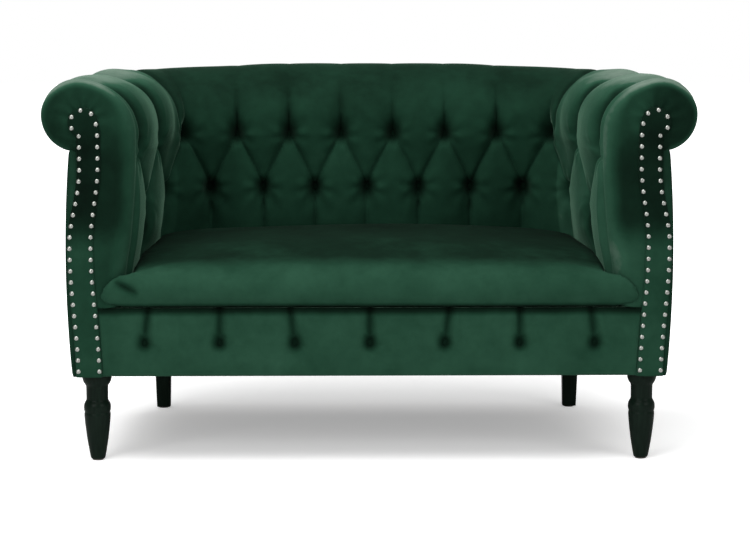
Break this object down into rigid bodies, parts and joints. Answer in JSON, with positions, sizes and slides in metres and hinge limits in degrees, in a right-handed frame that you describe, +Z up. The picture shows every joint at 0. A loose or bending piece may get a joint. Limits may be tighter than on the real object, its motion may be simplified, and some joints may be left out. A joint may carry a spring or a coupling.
{
  "type": "tufted loveseat",
  "caption": "Small green velvet loveseat with flared scroll arms, diamond-tufted curved back, tight sprung seat, nail-trimmed arm fronts and turned dark wood front legs.",
  "frame": {"origin": "on the floor under the middle of the bounding box", "axes": "+X to the right as seen from the front, +Y towards the back, +Z up; the seat faces -Y"},
  "size_m": [1.2982, 0.72, 0.77],
  "materials": {
    "velvet": "emerald green velvet with a bright sheen at the edges",
    "nail_metal": "polished domed nail heads",
    "stained_wood": "near-black stain, semi-gloss",
    "frame_wood": "raw hardwood and plywood",
    "hessian": "coarse jute cloth",
    "felt": "grey felt",
    "foam": "open-cell foam",
    "dust_cloth": "black non-woven cloth",
    "spring_steel": "oiled spring wire",
    "nylon": "dark brown nylon"
  },
  "bodies": {
    "root": {"back_buttons": "velvet", "back_hessian": "hessian", "back_pad": "velvet", "back_rail": "frame_wood", "back_stay": "frame_wood", "back_top_rail": "frame_wood", "border_buttons": "velvet", "centre_stretcher": "frame_wood", "dust_cover": "dust_cloth", "foot_glides": "nylon", "front_border": "velvet", "front_rail": "frame_wood", "glue_blocks": "frame_wood", "left_arm_board": "frame_wood", "left_arm_buttons": "velvet", "left_arm_facing": "velvet", "left_arm_hessian": "hessian", "left_arm_pad": "velvet", "left_arm_post": "frame_wood", "left_arm_stay": "frame_wood", "left_arm_top_rail": "frame_wood", "left_back_post": "frame_wood", "left_corner_rail": "frame_wood", "left_corner_top_rail": "frame_wood", "left_facing_nails": "nail_metal", "left_front_leg": "stained_wood", "left_outside_arm_panel": "velvet", "left_rear_leg": "stained_wood", "left_side_rail": "frame_wood", "leg_studs": "spring_steel", "outside_back_panel": "velvet", "right_arm_board": "frame_wood", "right_arm_buttons": "velvet", "right_arm_facing": "velvet", "right_arm_hessian": "hessian", "right_arm_pad": "velvet", "right_arm_post": "frame_wood", "right_arm_stay": "frame_wood", "right_arm_top_rail": "frame_wood", "right_back_post": "frame_wood", "right_corner_rail": "frame_wood", "right_corner_top_rail": "frame_wood", "right_facing_nails": "nail_metal", "right_front_leg": "stained_wood", "right_outside_arm_panel": "velvet", "right_rear_leg": "stained_wood", "right_side_rail": "frame_wood", "seat_cover": "velvet", "seat_felt": "felt", "seat_foam": "foam", "seat_springs": "spring_steel", "spring_clips": "spring_steel", "spring_deck": "hessian", "tie_wires": "spring_steel"}
  },
  "joints": []
}
